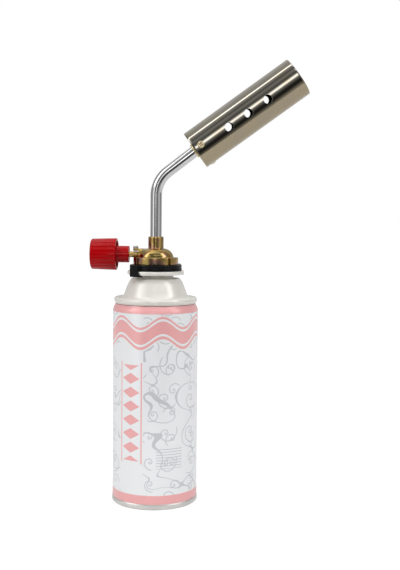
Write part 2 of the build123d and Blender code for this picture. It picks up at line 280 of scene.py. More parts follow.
class Graph:
    """The nodes of one material or group, added and wired through short calls."""

    def __init__(self, tree):
        self.tree = tree

    def wire(self, value, socket):
        if isinstance(value, bpy.types.NodeSocket):
            self.tree.links.new(value, socket)
        else:
            size = len(socket.default_value) if hasattr(socket.default_value, "__len__") else 0
            if size == 4 and len(value) == 3:
                value = (*value, 1.0)
            socket.default_value = value

    def add(self, kind, inputs=None, **settings):
        node = self.tree.nodes.new(kind)
        for key, value in settings.items():
            setattr(node, key, value)
        for key, value in (inputs or {}).items():
            self.wire(value, node.inputs[key])
        return node

    def math(self, operation, *values, clamp=False):
        node = self.add("ShaderNodeMath", operation=operation, use_clamp=clamp)
        for value, socket in zip(values, node.inputs):
            self.wire(value, socket)
        return node.outputs[0]

    def times(self, a, b):
        return self.math("MULTIPLY", a, b)

    def plus(self, a, b):
        return self.math("ADD", a, b)

    def minus(self, a, b):
        return self.math("SUBTRACT", a, b)

    def apart(self, a, b):
        """How far apart two values are."""
        return self.math("ABSOLUTE", self.minus(a, b))

    def vector(self, operation, a, b):
        return self.add("ShaderNodeVectorMath", {0: a, 1: b}, operation=operation).outputs[0]

    def mix(self, factor, a, b):
        node = self.add("ShaderNodeMix", data_type="RGBA")
        self.wire(factor, node.inputs[0])
        self.wire(a, node.inputs[6])
        self.wire(b, node.inputs[7])
        return node.outputs[2]

    def between(self, value, low, high):
        """0 below low, 1 above high and smooth in between."""
        node = self.add("ShaderNodeMapRange", {0: value, 1: low, 2: high}, interpolation_type="SMOOTHSTEP")
        return node.outputs[0]

    def scaled(self, value, low, high):
        """A share from 0 to 1 carried to the range from low to high."""
        return self.add("ShaderNodeMapRange", {0: value, 3: low, 4: high}).outputs[0]

    def noise(self, vector, scale, detail=3.0, roughness=0.5, distortion=0.0):
        node = self.add("ShaderNodeTexNoise", {"Vector": vector, "Scale": scale, "Detail": detail,
                                               "Roughness": roughness, "Distortion": distortion})
        return node.outputs["Fac"]

    def ramp(self, factor, stops):
        node = self.add("ShaderNodeValToRGB", {0: factor})
        elements = node.color_ramp.elements
        while len(elements) < len(stops):
            elements.new(0.5)
        for element, (position, colour) in zip(elements, stops):
            element.position = position
            element.color = (*colour, 1.0)
        return node.outputs[0]

    def place(self, stretch=(1, 1, 1), turn=(0, 0, 0), location=(0, 0, 0)):
        """Object coordinates, turned and stretched."""
        where = self.add("ShaderNodeTexCoord").outputs["Object"]
        mapped = self.add("ShaderNodeMapping", {"Vector": where, "Location": location, "Rotation": turn,
                                                "Scale": stretch})
        return mapped.outputs[0]

    def group(self, tree, inputs):
        return self.add("ShaderNodeGroup", inputs, node_tree=tree).outputs


def node_group(name, inputs, outputs, build):
    """A shader node group with the named sockets, made once."""
    if name in bpy.data.node_groups:
        return bpy.data.node_groups[name]
    tree = bpy.data.node_groups.new(name, "ShaderNodeTree")
    for socket, (kind, default) in inputs.items():
        made = tree.interface.new_socket(socket, in_out="INPUT", socket_type=kind)
        if default is not None:
            made.default_value = default
    for socket, kind in outputs.items():
        tree.interface.new_socket(socket, in_out="OUTPUT", socket_type=kind)
    graph = Graph(tree)
    source = graph.add("NodeGroupInput").outputs
    sink = graph.add("NodeGroupOutput").inputs
    for socket, value in build(graph, source).items():
        graph.wire(value, sink[socket])
    return tree


FLOAT = "NodeSocketFloat"
VECTOR = "NodeSocketVector"


def grain_group():
    """Fine surface grain: small noise for height, and broad noise for how the gloss varies."""
    def build(graph, source):
        fine = graph.noise(source["Vector"], source["Fineness"], detail=4.0, roughness=0.6)
        broad = graph.noise(source["Vector"], graph.times(source["Fineness"], 0.045), detail=2.0)
        return {"Height": fine, "Broad": graph.between(broad, 0.35, 0.65)}
    return node_group("Surface Grain", {"Vector": (VECTOR, None), "Fineness": (FLOAT, 1500.0)},
                      {"Height": FLOAT, "Broad": FLOAT}, build)


def scratch_group():
    """Handling scratches: thin crossings of a warped noise with its own middle value, kept in patches."""
    def build(graph, source):
        warped = graph.noise(source["Vector"], source["Fineness"], detail=1.0, distortion=1.4)
        line = graph.apart(warped, 0.5)
        thin = graph.minus(1.0, graph.between(line, 0.0, source["Width"]))
        patch = graph.between(graph.noise(source["Vector"], graph.times(source["Fineness"], 0.3)),
                              0.5, 0.68)
        return {"Mask": graph.times(thin, patch)}
    return node_group("Handling Scratches", {"Vector": (VECTOR, None), "Fineness": (FLOAT, 200.0),
                                             "Width": (FLOAT, 0.01)}, {"Mask": FLOAT}, build)


def dust_group():
    """Dust: a mask that grows where the surface looks up, broken by noise."""
    def build(graph, source):
        normal = graph.add("ShaderNodeNewGeometry").outputs["Normal"]
        upward = graph.add("ShaderNodeSeparateXYZ", {0: normal}).outputs["Z"]
        patches = graph.between(graph.noise(source["Vector"], 260.0, detail=5.0, roughness=0.7), 0.42, 0.7)
        facing = graph.between(upward, 0.2, 1.0)
        return {"Mask": graph.times(graph.times(facing, patches), source["Amount"])}
    inputs = {"Vector": (VECTOR, None), "Amount": (FLOAT, 0.3)}
    return node_group("Settled Dust", inputs, {"Mask": FLOAT}, build)


def new_material(name):
    """An empty node material with a Principled shader, as (material, graph, shader)."""
    material = bpy.data.materials.new(name)
    material.use_nodes = True
    shader = material.node_tree.nodes["Principled BSDF"]
    return material, Graph(material.node_tree), shader


def dress(graph, shader, colour, roughness, height=None, distance=0.0, strength=1.0):
    """Wires colour, roughness and a bump of the given depth into a shader."""
    graph.wire(colour, shader.inputs["Base Color"])
    graph.wire(roughness, shader.inputs["Roughness"])
    if height is not None:
        bump = graph.add("ShaderNodeBump", {"Height": height, "Distance": distance, "Strength": strength})
        graph.wire(bump.outputs[0], shader.inputs["Normal"])


def enamel(name, colour, gloss, fineness=900.0):
    """Sprayed enamel on sheet metal: orange-peel bump, small patches of duller gloss, a little dust."""
    material, graph, shader = new_material(name)
    where = graph.place()
    grain = graph.group(grain_group(), {"Vector": where, "Fineness": fineness})
    dust = graph.group(dust_group(), {"Vector": where, "Amount": 0.1})["Mask"]
    shade = graph.mix(graph.scaled(grain["Broad"], 0.0, 0.22), colour, tuple(v * 0.9 for v in colour))
    shade = graph.mix(dust, shade, (0.52, 0.5, 0.47))
    dress(graph, shader, shade, graph.scaled(grain["Broad"], gloss, gloss + 0.1), grain["Height"], 0.00003, 0.5)
    shader.inputs["Metallic"].default_value = 0.2
    shader.inputs["Coat Weight"].default_value = 0.6
    shader.inputs["Coat Roughness"].default_value = 0.1
    return material


def plain_metal(name, colour, roughness, fineness=1400.0, depth=0.00002, stretch=(1, 1, 1), turn=(0, 0, 0)):
    """Bare metal: grain stretched along the way it was worked, with duller and darker patches."""
    material, graph, shader = new_material(name)
    where = graph.place(stretch, turn)
    grain = graph.group(grain_group(), {"Vector": where, "Fineness": fineness})
    scratches = graph.group(scratch_group(), {
        "Vector": graph.place(), "Fineness": 320.0, "Width": 0.012})["Mask"]
    shade = graph.mix(graph.scaled(grain["Broad"], 0.0, 0.35), colour, tuple(v * 0.72 for v in colour))
    rough = graph.plus(graph.scaled(grain["Height"], roughness * 0.8, roughness * 1.25),
                       graph.times(scratches, 0.12))
    dress(graph, shader, shade, rough, grain["Height"], depth, 0.4)
    shader.inputs["Metallic"].default_value = 1.0
    return material


# ---- settings ----

class TorchSizes(bpy.types.PropertyGroup):
    """Sizes that the frame doesn't fix, and those read from it."""

    burner_radius: bpy.props.FloatProperty(
        name="Burner radius", description="Outer radius of the burner tube", unit="LENGTH", precision=4,
        default=measured("burner_tube", BURNER_MIDDLE, BURNER_AXIS)[2] - SKIN_ALLOWANCE)
    burner_length: bpy.props.FloatProperty(
        name="Burner length", description="Length of the burner tube from rear edge to mouth", unit="LENGTH",
        precision=4, default=float(np.ptp(measured("burner_tube", BURNER_MIDDLE, BURNER_AXIS)[:2])))
    air_hole_radius: bpy.props.FloatProperty(
        name="Air hole radius", description="Radius of each air hole", unit="LENGTH", precision=4,
        default=3.35 * MM)
    tube_radius: bpy.props.FloatProperty(
        name="Gas tube radius", description="Outer radius of the bent gas tube", unit="LENGTH", precision=4,
        default=(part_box("gas_tube")[1].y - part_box("gas_tube")[0].y) / 2)
    bend_radius: bpy.props.FloatProperty(
        name="Bend radius", description="Radius of the gas tube's bend, to its middle", unit="LENGTH",
        precision=4, default=23 * MM)
    knob_radius: bpy.props.FloatProperty(
        name="Knob radius", description="Radius over the ridges at the knob's inner edge", unit="LENGTH",
        precision=4, default=measured("knob", VALVE_POINT, VALVE_AXIS)[2])
    knob_flutes: bpy.props.IntProperty(
        name="Knob flutes", description="Number of finger grooves round the knob", default=20, min=3)
    can_radius: bpy.props.FloatProperty(
        name="Cartridge radius", description="Outer radius of the cartridge's wall", unit="LENGTH", precision=4,
        default=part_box("cartridge_wall")[1].x)


class TorchColours(bpy.types.PropertyGroup):
    """Colours of the finishes."""

    label_ground: bpy.props.FloatVectorProperty(
        name="Label ground", description="Ground colour of the printed cartridge", subtype="COLOR",
        default=srgb(230, 231, 233))
    label_band: bpy.props.FloatVectorProperty(
        name="Label band", description="Colour of the label's bands and shapes", subtype="COLOR",
        default=srgb(231, 166, 166))
    label_scroll: bpy.props.FloatVectorProperty(
        name="Label scrolls", description="Colour of the label's thin scroll lines", subtype="COLOR",
        default=srgb(186, 190, 194))
    enamel: bpy.props.FloatVectorProperty(
        name="Enamel", description="Colour of the cartridge's shoulder and collar", subtype="COLOR",
        default=srgb(224, 221, 214))
    knob: bpy.props.FloatVectorProperty(
        name="Knob", description="Colour of the moulded knob", subtype="COLOR", default=srgb(166, 0, 6))
    black_plastic: bpy.props.FloatVectorProperty(
        name="Black plastic", description="Colour of the bayonet base", subtype="COLOR",
        default=srgb(9, 9, 10))
    stainless: bpy.props.FloatVectorProperty(
        name="Stainless", description="Tint of the polished burner tube", subtype="COLOR",
        default=(0.385, 0.36, 0.31))
    chrome: bpy.props.FloatVectorProperty(
        name="Chrome", description="Tint of the plated gas tube", subtype="COLOR", default=(0.66, 0.66, 0.66))
    brass: bpy.props.FloatVectorProperty(
        name="Brass", description="Tint of the turned brass pieces", subtype="COLOR",
        default=(0.62, 0.43, 0.17))


class StudioSettings(bpy.types.PropertyGroup):
    """Camera and light of the studio."""

    lens: bpy.props.FloatProperty(
        name="Lens", description="Focal length on a 36 mm sensor", default=58.7, min=10)
    camera_place: bpy.props.FloatVectorProperty(
        name="Camera place", description="Where the camera stands", subtype="TRANSLATION", unit="LENGTH",
        default=(0.0657, -0.7169, 0.2215))
    camera_heading: bpy.props.FloatProperty(
        name="Heading", description="Turn of the view from +Y towards -X", subtype="ANGLE",
        default=math.radians(2.5))
    camera_pitch: bpy.props.FloatProperty(
        name="Pitch", description="How far the view looks down", subtype="ANGLE", default=math.radians(4.22))
    camera_roll: bpy.props.FloatProperty(
        name="Roll", description="Turn of the camera about its view", subtype="ANGLE",
        default=math.radians(0.53))
    surround: bpy.props.FloatProperty(
        name="Surround light", description="Strength of the pale surround", default=1.0, min=0)
    key_power: bpy.props.FloatProperty(
        name="Key light", description="Power of the soft key light in watts", default=4.5, min=0)


def sizes():
    """The scene's sizes."""
    return bpy.context.scene.torch_sizes


def colours():
    """The scene's colours."""
    return bpy.context.scene.torch_colours


# ---- studio ----

def add_camera(settings):
    """The camera, turned by heading, pitch and roll from a view along +Y."""
    camera = bpy.data.objects.new("camera", bpy.data.cameras.new("camera"))
    bpy.context.scene.collection.objects.link(camera)
    camera.data.lens = settings.lens
    camera.data.sensor_width = 36
    camera.data.clip_start = 0.01
    view = Matrix.Rotation(settings.camera_heading, 4, "Z")
    view = view @ Matrix.Rotation(math.pi / 2 - settings.camera_pitch, 4, "X")
    view = view @ Matrix.Rotation(settings.camera_roll, 4, "Z")
    camera.matrix_world = Matrix.Translation(settings.camera_place) @ view
    bpy.context.scene.camera = camera


def add_floor():
    """A pale table top. Its front edge is near the torch, so the dim room in front of it shows in the metal."""
    left, right, near, far = -2.5, 2.5, -0.32, 6.0
    corners = [(left, near, 0), (right, near, 0), (right, far, 0), (left, far, 0)]
    mesh = bpy.data.meshes.new("floor")
    mesh.from_pydata(corners, [], [(0, 1, 2, 3)])
    floor = bpy.data.objects.new("floor", mesh)
    bpy.context.scene.collection.objects.link(floor)
    material, graph, shader = new_material("pale_floor")
    dress(graph, shader, (0.42, 0.42, 0.42), 0.7)
    shader.inputs["Specular IOR Level"].default_value = 0.1
    shader.inputs["Emission Strength"].default_value = 1.0
    seen = graph.add("ShaderNodeLightPath").outputs["Is Camera Ray"]
    graph.wire(graph.mix(seen, (0.33, 0.33, 0.33), (0.66, 0.66, 0.66)), shader.inputs["Emission Color"])
    mesh.materials.append(material)


def add_area(name, place, target, size, power):
    """A soft rectangular light aimed at a point. It lights surfaces but doesn't show as a reflection."""
    light = bpy.data.objects.new(name, bpy.data.lights.new(name, "AREA"))
    bpy.context.scene.collection.objects.link(light)
    light.data.shape = "RECTANGLE"
    light.data.size, light.data.size_y = size
    light.data.energy = power
    light.location = place
    light.rotation_euler = (Vector(target) - Vector(place)).to_track_quat("-Z", "Y").to_euler()
    light.visible_glossy = False


BAND_LAMPS = ((-180, 0.6), (-134, 0.6), (-60, 0.75), (-42, 0.2), (-33, 0.04), (-24, 0.015), (-15, 0.08),
              (-7, 0.25), (0, 0.6), (4, 2.9), (10, 2.9), (15, 0.9), (21, 0.12), (26, 0.16), (33, 0.26),
              (43, 0.42), (50, 0.16), (60, 0.28), (70, 0.55), (75, 0.7), (76.5, 4.0), (81.5, 4.0),
              (84, 0.55), (105, 0.6), (125, 0.75), (180, 0.6))
ROOM_WALLS = ((-180, 0.65), (-130, 0.45), (-95, 0.3), (-72, 0.42), (-62, 0.7), (-56, 1.3), (-38, 1.1),
              (-31, 0.2), (-22, 0.09), (-12, 0.2), (15, 0.24), (32, 0.2), (45, 0.36), (58, 0.66),
              (76, 0.66), (90, 0.3), (105, 0.26), (135, 0.55), (180, 0.65))
BRIGHTEST = 4.0


def lamp_ramp(graph, angle, stops):
    """Light of a ring of lamps and panels, given as (degrees, brightness) round one angle in radians."""
    share = graph.plus(graph.math("DIVIDE", angle, 2 * math.pi), 0.5)
    made = graph.ramp(share, [((degrees + 180) / 360, (level / BRIGHTEST,) * 3) for degrees, level in stops])
    return graph.times(graph.add("ShaderNodeSeparateColor", {0: made}).outputs[0], BRIGHTEST)


def surround_world(strength):
    """The surround: walls, panels and lamps whose brightness goes by compass angle, a lamp row high up in
    front, a tall lamp high up at each side and a bright ceiling. Across the middle is a band of strip lamps
    laid parallel to the burner, whose brightness goes by the angle about the burner's axis. Seen straight on
    the surround is plain white."""
    world = bpy.data.worlds.new("studio")
    bpy.context.scene.world = world
    world.use_nodes = True
    graph = Graph(world.node_tree)
    where = graph.add("ShaderNodeTexCoord").outputs["Generated"]
    axis = graph.add("ShaderNodeSeparateXYZ", {0: where}).outputs
    front = graph.times(axis["Y"], -1.0)
    along, across = float(BURNER_AXIS[0]), float(BURNER_AXIS[2])
    lengthwise = graph.plus(graph.times(axis["X"], along), graph.times(axis["Z"], across))
    rise = graph.minus(graph.times(axis["Z"], along), graph.times(axis["X"], across))
    band = lamp_ramp(graph, graph.math("ARCTAN2", rise, front), BAND_LAMPS)
    compass = graph.math("ARCTAN2", axis["X"], front)
    walls = lamp_ramp(graph, compass, ROOM_WALLS)
    ceiling = graph.between(axis["Z"], 0.8, 0.92)
    walls = graph.plus(walls, graph.times(ceiling, 0.9))
    from_row = graph.math("ABSOLUTE", graph.minus(axis["Z"], 0.66))
    row = graph.times(graph.between(from_row, 0.09, 0.05), graph.between(front, 0.45, 0.6))
    walls = graph.plus(walls, graph.times(row, 1.6))
    from_pair = graph.math("ABSOLUTE", graph.minus(graph.math("ABSOLUTE", compass), math.radians(66)))
    pair = graph.times(graph.between(from_pair, math.radians(12), math.radians(7)),
                      graph.times(graph.between(axis["Z"], 0.2, 0.3), graph.between(axis["Z"], 0.9, 0.8)))
    walls = graph.plus(walls, graph.times(pair, 2.6))
    inside = graph.times(graph.between(lengthwise, -0.09, -0.02),
                        graph.minus(1.0, graph.between(lengthwise, 0.2, 0.3)))
    light = graph.plus(graph.times(walls, graph.minus(1.0, inside)),
                       graph.times(band, inside))
    seen = graph.add("ShaderNodeLightPath").outputs["Is Camera Ray"]
    bright = graph.add("ShaderNodeMix", data_type="FLOAT")
    graph.wire(seen, bright.inputs[0])
    graph.wire(light, bright.inputs[2])
    graph.wire(1.0, bright.inputs[3])
    background = world.node_tree.nodes["Background"]
    background.inputs["Color"].default_value = (1, 1, 1, 1)
    graph.wire(graph.times(bright.outputs[0], strength), background.inputs["Strength"])


class TORCH_OT_stage(bpy.types.Operator):
    """Set up the camera, floor, surround and lights"""

    bl_idname = "torch.stage"
    bl_label = "Studio"

    def execute(self, context):
        settings = context.scene.torch_studio
        context.scene.view_settings.view_transform = "Standard"
        add_camera(settings)
        add_floor()
        surround_world(settings.surround)
        add_area("key_light", (-0.8, -1.2, 0.9), (0, 0, 0.18), (0.8, 0.8), settings.key_power)
        add_area("fill_light", (0.9, -1.1, 0.7), (0, 0, 0.18), (0.8, 0.8), settings.key_power * 0.8)
        add_area("top_light", (0, 0.1, 1.6), (0, 0, 0.2), (1.2, 1.2), settings.key_power * 1.2)
        return {"FINISHED"}


# ---- cartridge ----

def shoulder_outline():
    """The bell from neck to foot, a smooth line through its heights, then the seam's rolled lip, then back
    inside the sheet to the neck."""
    bell = smooth_line([(17.0, 173.7), (18.2, 173.55), (19.0, 173.2), (21.1, 169.9), (22.9, 165.4),
                        (24.3, 161.7), (25.7, 159.3), (28.3, 157.9)])
    lip = smooth_line([(28.3, 157.9), (29.3, 158.6), (30.5, 159.25), (31.8, 158.5), (32.15, 157.0),
                       (31.9, 155.8), (31.2, 155.2)])
    foot = np.array([(31.15, 154.6), (31.15, 156.6)])
    inside = (bell - 0.38)[::-1]
    neck = np.array([(13.42 + 0.8, 173.4), (13.42, 174.3), (13.42, 178.5), (13.8, 178.5), (13.8, 174.9),
                     (14.0, 174.35), (14.6, 174.0), (15.5, 173.85)])
    return np.concatenate([bell, lip[1:], foot, inside, neck]) * MM


def wall_outline(radius):
    """Straight side, soft inward turn to the groove under the seam, and back down inside the sheet."""
    turn = smooth_line([(33.0, 147.5), (33.0, 148.8), (32.75, 150.4), (32.2, 151.9), (31.5, 153.1),
                        (31.1, 153.9)])
    outside = np.concatenate([np.array([(33.0, 4.4)]), turn, np.array([(31.1, 154.2)])])
    outside[:, 0] += radius / MM - 33.0
    inside = (outside - np.array([0.5, 0.0]))[::-1]
    return divided(np.concatenate([outside, inside]) * MM, 12 * MM)


def base_outline():
    """Seam bead, standing ring and the domed underside."""
    corners = [(31.0, 0, 0.15), (32.4, 0, 0.4), (33.3, 1.0, 0.5), (33.3, 3.4, 0.4), (32.9, 4.4, 0.3),
               (30.4, 4.4, 0.4), (27.0, 6.6, 2), (18.0, 8.6, 0), (0, 9.5, 0), (0, 9.0, 0),
               (18.0, 8.1, 0), (26.7, 6.0, 2), (30.0, 3.4, 0.6)]
    return rounded(corners) * MM


def collar_points():
    """The flange and its turned-down rim. Inside each claw notch the radius stops at a straight floor, and the
    rim's lower edge rises to the plate."""
    low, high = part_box("bayonet_collar")
    top, bottom, outer = high.z / MM, low.z / MM, max(high.y, -low.y) / MM
    outline = rounded([(13.85, top, 0), (outer, top, 0.6), (outer, bottom, 0.25), (outer - 0.8, bottom, 0.25),
                       (outer - 0.8, top - 0.8, 0.3), (13.85, top - 0.8, 0)])
    floor, half_width = 20.1, 5.5
    edge = math.asin(half_width / outer)
    middles = np.radians([-175.5, 4.5])
    tiny = 1e-4
    cuts = np.concatenate([middles - edge, middles + edge])
    angles = np.concatenate([np.arange(180) * np.pi / 90 - np.pi, cuts - tiny, cuts + tiny])
    angles = np.sort((angles + np.pi) % (2 * np.pi) - np.pi)
    radius = np.repeat(outline[:, :1], len(angles), axis=1)
    height = np.repeat(outline[:, 1:], len(angles), axis=1)
    for middle in middles:
        offset = (angles - middle + np.pi) % (2 * np.pi) - np.pi
        notch = np.abs(offset) < edge
        limit = np.where(notch, floor / np.cos(offset), np.inf)
        height = np.where(notch & (radius > limit), np.maximum(height, top - 0.8), height)
        radius = np.minimum(radius, limit)
    return np.stack([radius * np.cos(angles), radius * np.sin(angles), height], axis=2) * MM


def coil_points(coil, wire, low, high, turns, columns=16):
    """A wire's circle carried up a helix: at each angle the ring spans the helix's outward direction and the
    direction square to both that and the wire. The first and last rows are the middles of the end faces."""
    angle = np.linspace(0, 2 * np.pi * turns, turns * 40)[:, None]
    climb = (high - low) / (2 * np.pi * turns)
    level = low + climb * angle
    slope = math.hypot(coil, climb)
    outward = np.stack([np.cos(angle), np.sin(angle), 0 * angle], axis=2)
    square = np.stack([np.sin(angle) * climb, -np.cos(angle) * climb, coil + 0 * angle], axis=2) / slope
    middle = coil * outward + np.stack([0 * angle, 0 * angle, level], axis=2)
    round_wire = np.arange(columns) * 2 * np.pi / columns
    ring = np.cos(round_wire)[None, :, None] * outward + np.sin(round_wire)[None, :, None] * square
    rows = middle + wire * ring
    ends = np.repeat(middle[[0, -1]], columns, axis=1)
    return np.concatenate([ends[:1], rows, ends[1:]])


def add_stem_spring(coil=2.2 * MM, wire=0.3 * MM, turns=6):
    """The spring under the cartridge's stem. In the real cartridge it shortens by the stem's travel when the
    stem is pressed; here it is built at one length.
    """
    low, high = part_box("stem_spring")
    points = coil_points(coil, wire, low.z + wire, high.z - wire, turns)
    spring = grid_object("stem_spring_coil", points, closed_rows=False)
    stands_for(spring, "stem_spring", "cartridge", bpy.data.materials["spring_steel"])
    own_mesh(spring)


def scroll_group():
    """Scrollwork on an unrolled label: the plane is cut into cells, and each cell holds a spiral whose arm runs
    where the logarithm of the radius and the angle add up to a whole turn. Thin wandering stems join them."""
    def build(graph, source):
        plane = graph.add("ShaderNodeCombineXYZ", {"X": source["Around"], "Y": source["Up"]}).outputs[0]
        total = None
        for cell, shift, reach in ((0.024, (0.0, 0.0, 0.0), 0.0098), (0.0175, (0.009, 0.006, 0.0), 0.0062)):
            moved = graph.vector("ADD", plane, shift)
            scaled = graph.vector("DIVIDE", moved, (cell, cell, cell))
            whole = graph.vector("FLOOR", scaled, (0, 0, 0))
            inside = graph.vector("SUBTRACT", graph.vector("SUBTRACT", scaled, whole), (0.5, 0.5, 0))
            chance = graph.add("ShaderNodeTexWhiteNoise", {"Vector": whole}, noise_dimensions="3D")
            jitter = graph.vector("SUBTRACT", chance.outputs["Color"], (0.5, 0.5, 0.5))
            jitter = graph.vector("MULTIPLY", jitter, (0.22, 0.22, 0.0))
            local = graph.add("ShaderNodeSeparateXYZ", {0: graph.vector("SUBTRACT", inside, jitter)}).outputs
            across, up = local["X"], local["Y"]
            squares = graph.plus(graph.times(across, across), graph.times(up, up))
            radius = graph.times(graph.math("SQRT", squares), cell)
            angle = graph.math("DIVIDE", graph.math("ARCTAN2", up, across), 2 * math.pi)
            hand = graph.minus(graph.times(graph.math("ROUND", chance.outputs["Value"]), 2.0), 1.0)
            growth = graph.times(graph.math("LOGARITHM", graph.math("MAXIMUM", radius, 1e-5), 2.0), 0.42)
            wound = graph.plus(growth, graph.times(angle, hand))
            phase = graph.math("FRACT", graph.plus(wound, chance.outputs["Value"]))
            line = graph.apart(phase, 0.5)
            half_width = graph.math("DIVIDE", 0.00022, graph.math("MAXIMUM", radius, 0.0009))
            arm = graph.math("LESS_THAN", line, half_width)
            kept = graph.math("LESS_THAN", radius, reach)
            drawn = graph.times(arm, kept)
            total = drawn if total is None else graph.math("MAXIMUM", total, drawn)
        stem_noise = graph.noise(plane, 38.0, detail=0.0, distortion=0.6)
        stem = graph.math("LESS_THAN", graph.apart(stem_noise, 0.5), 0.009)
        return {"Mask": graph.math("MAXIMUM", total, stem)}
    return node_group("Scrollwork", {"Around": (FLOAT, 0.0), "Up": (FLOAT, 0.0)}, {"Mask": FLOAT}, build)


def label_group(radius):
    """The label's flat colours on the unrolled wall: two plain bands, a waving ribbon, a column of lozenges and
    a block of thin rules. Around is measured along the wall from the front."""
    def build(graph, source):
        parts = graph.add("ShaderNodeSeparateXYZ", {0: source["Vector"]}).outputs
        angle = graph.math("ARCTAN2", parts["X"], graph.times(parts["Y"], -1.0))
        around = graph.times(angle, radius)
        up = parts["Z"]

        def stripe(value, middle, half):
            return graph.math("LESS_THAN", graph.apart(value, middle), half)

        bands = graph.math("MAXIMUM", stripe(up, 0.1520, 0.0034), stripe(up, 0.0077, 0.00345))
        wave = graph.times(graph.math("SINE", graph.times(angle, 6.0)), 0.0042)
        height = graph.minus(up, wave)
        ribbon = graph.math("MAXIMUM", stripe(height, 0.1345, 0.0047), stripe(height, 0.1270, 0.0011))
        ribbon = graph.math("MAXIMUM", ribbon, stripe(height, 0.1418, 0.0009))
        pitch = 0.0105
        step = graph.minus(graph.math("FRACT", graph.math("DIVIDE", up, pitch)), 0.5)
        tall = graph.math("ABSOLUTE", graph.times(step, pitch))
        wide = graph.apart(around, -0.0165)
        lozenge = graph.math("LESS_THAN", graph.plus(tall, graph.times(wide, 0.55)), 0.0042)
        column = graph.times(lozenge, stripe(up, 0.0735, 0.0365))
        rails = graph.times(graph.math("MAXIMUM", stripe(around, -0.0255, 0.0005),
                                                  stripe(around, -0.0075, 0.0005)), stripe(up, 0.0735, 0.0385))
        pink = graph.math("MAXIMUM", graph.math("MAXIMUM", bands, ribbon), graph.math("MAXIMUM", column, rails))
        rule_pitch = 0.0021
        rule_step = graph.math("FRACT", graph.math("DIVIDE", up, rule_pitch))
        rules = graph.times(
            graph.math("LESS_THAN", rule_step, 0.3),
            graph.times(stripe(up, 0.0395, 0.0078), stripe(around, 0.0145, 0.0105)))
        ground = graph.minus(1.0, graph.math("MAXIMUM", stripe(around, -0.0165, 0.0105),
                                                        stripe(height, 0.1340, 0.0095)))
        scrolls = graph.group(scroll_group(), {"Around": around, "Up": up})["Mask"]
        return {"Pink": pink, "Line": graph.math("MAXIMUM", rules, graph.times(scrolls, ground))}
    return node_group("Label Print", {"Vector": (VECTOR, None)}, {"Pink": FLOAT, "Line": FLOAT}, build)


def printed_tin():
    """Printed and varnished tinplate."""
    material, graph, shader = new_material("printed_tin")
    where = graph.place()
    label = graph.group(label_group(sizes().can_radius), {"Vector": where})
    grain = graph.group(grain_group(), {"Vector": where, "Fineness": 700.0})
    scratches = graph.group(scratch_group(), {"Vector": where, "Fineness": 90.0, "Width": 0.006})["Mask"]
    ground = graph.mix(graph.scaled(grain["Broad"], 0.0, 0.12), colours().label_ground[:], srgb(222, 224, 228))
    shade = graph.mix(graph.times(label["Line"], 0.85), ground, colours().label_scroll[:])
    shade = graph.mix(label["Pink"], shade, colours().label_band[:])
    shade = graph.mix(graph.times(scratches, 0.25), shade, srgb(198, 198, 198))
    dress(graph, shader, shade, graph.scaled(grain["Broad"], 0.3, 0.4), grain["Height"], 0.00001, 0.3)
    shader.inputs["Metallic"].default_value = 0.12
    shader.inputs["Coat Weight"].default_value = 0.6
    shader.inputs["Coat Roughness"].default_value = 0.06
    return material


class TORCH_OT_cartridge(bpy.types.Operator):
    """Build the cartridge's wall, shoulder, base, collar and stem spring"""

    bl_idname = "torch.cartridge"
    bl_label = "Cartridge"

    def execute(self, context):
        tin = plain_metal("bare_tin", (0.78, 0.77, 0.74), 0.42)
        coat = enamel("enamelled_tin", colours().enamel[:], 0.28)
        wall = grid_object("cartridge_wall_sheet", lathe(wall_outline(sizes().can_radius), 160))
        stands_for(wall, "cartridge_wall", "cartridge", printed_tin())
        shoulder = grid_object("cartridge_shoulder_bell", lathe(shoulder_outline(), 160))
        stands_for(shoulder, "cartridge_shoulder", "cartridge", coat)
        base = grid_object("cartridge_base_dome", lathe(base_outline(), 160))
        stands_for(base, "cartridge_base", "cartridge", tin)
        collar = grid_object("bayonet_collar_ring", collar_points())
        stands_for(collar, "bayonet_collar", "cartridge", coat)
        add_stem_spring()
        return {"FINISHED"}


# ---- valve ----

def chromated_zinc():
    """Yellow chromate on cast zinc: gold that drifts to olive and rose in broad patches, over a cast skin."""
    material, graph, shader = new_material("chromated_zinc")
    where = graph.place()
    drift = graph.noise(where, 70.0, detail=1.0, roughness=0.5, distortion=0.5)
    streak = graph.noise(graph.place((1, 1, 0.5)), 260.0, detail=2.0, roughness=0.5)
    mixed = graph.plus(graph.times(drift, 0.88), graph.times(streak, 0.12))
    shade = graph.ramp(mixed, ((0.32, (0.18, 0.15, 0.06)), (0.42, (0.36, 0.25, 0.08)),
                               (0.49, (0.52, 0.34, 0.12)), (0.55, (0.47, 0.26, 0.18)),
                               (0.62, (0.38, 0.21, 0.16)), (0.70, (0.24, 0.21, 0.11))))
    grain = graph.group(grain_group(), {"Vector": where, "Fineness": 1800.0})
    dress(graph, shader, shade, graph.scaled(grain["Height"], 0.13, 0.22), grain["Height"], 0.00002, 0.35)
    shader.inputs["Metallic"].default_value = 1.0
    return material


def black_plastic():
    """Moulded black plastic: fine spark texture, lighter rubbed patches, settled dust."""
    material, graph, shader = new_material("black_plastic")
    where = graph.place()
    grain = graph.group(grain_group(), {"Vector": where, "Fineness": 2600.0})
    dust = graph.group(dust_group(), {"Vector": where, "Amount": 0.08})["Mask"]
    black = colours().black_plastic
    shade = graph.mix(grain["Broad"], black[:], tuple(v * 1.5 for v in black))
    shade = graph.mix(dust, shade, (0.1, 0.095, 0.09))
    dress(graph, shader, shade, graph.scaled(grain["Broad"], 0.24, 0.36), grain["Height"], 0.00002, 0.3)
    shader.inputs["Specular IOR Level"].default_value = 0.13
    return material


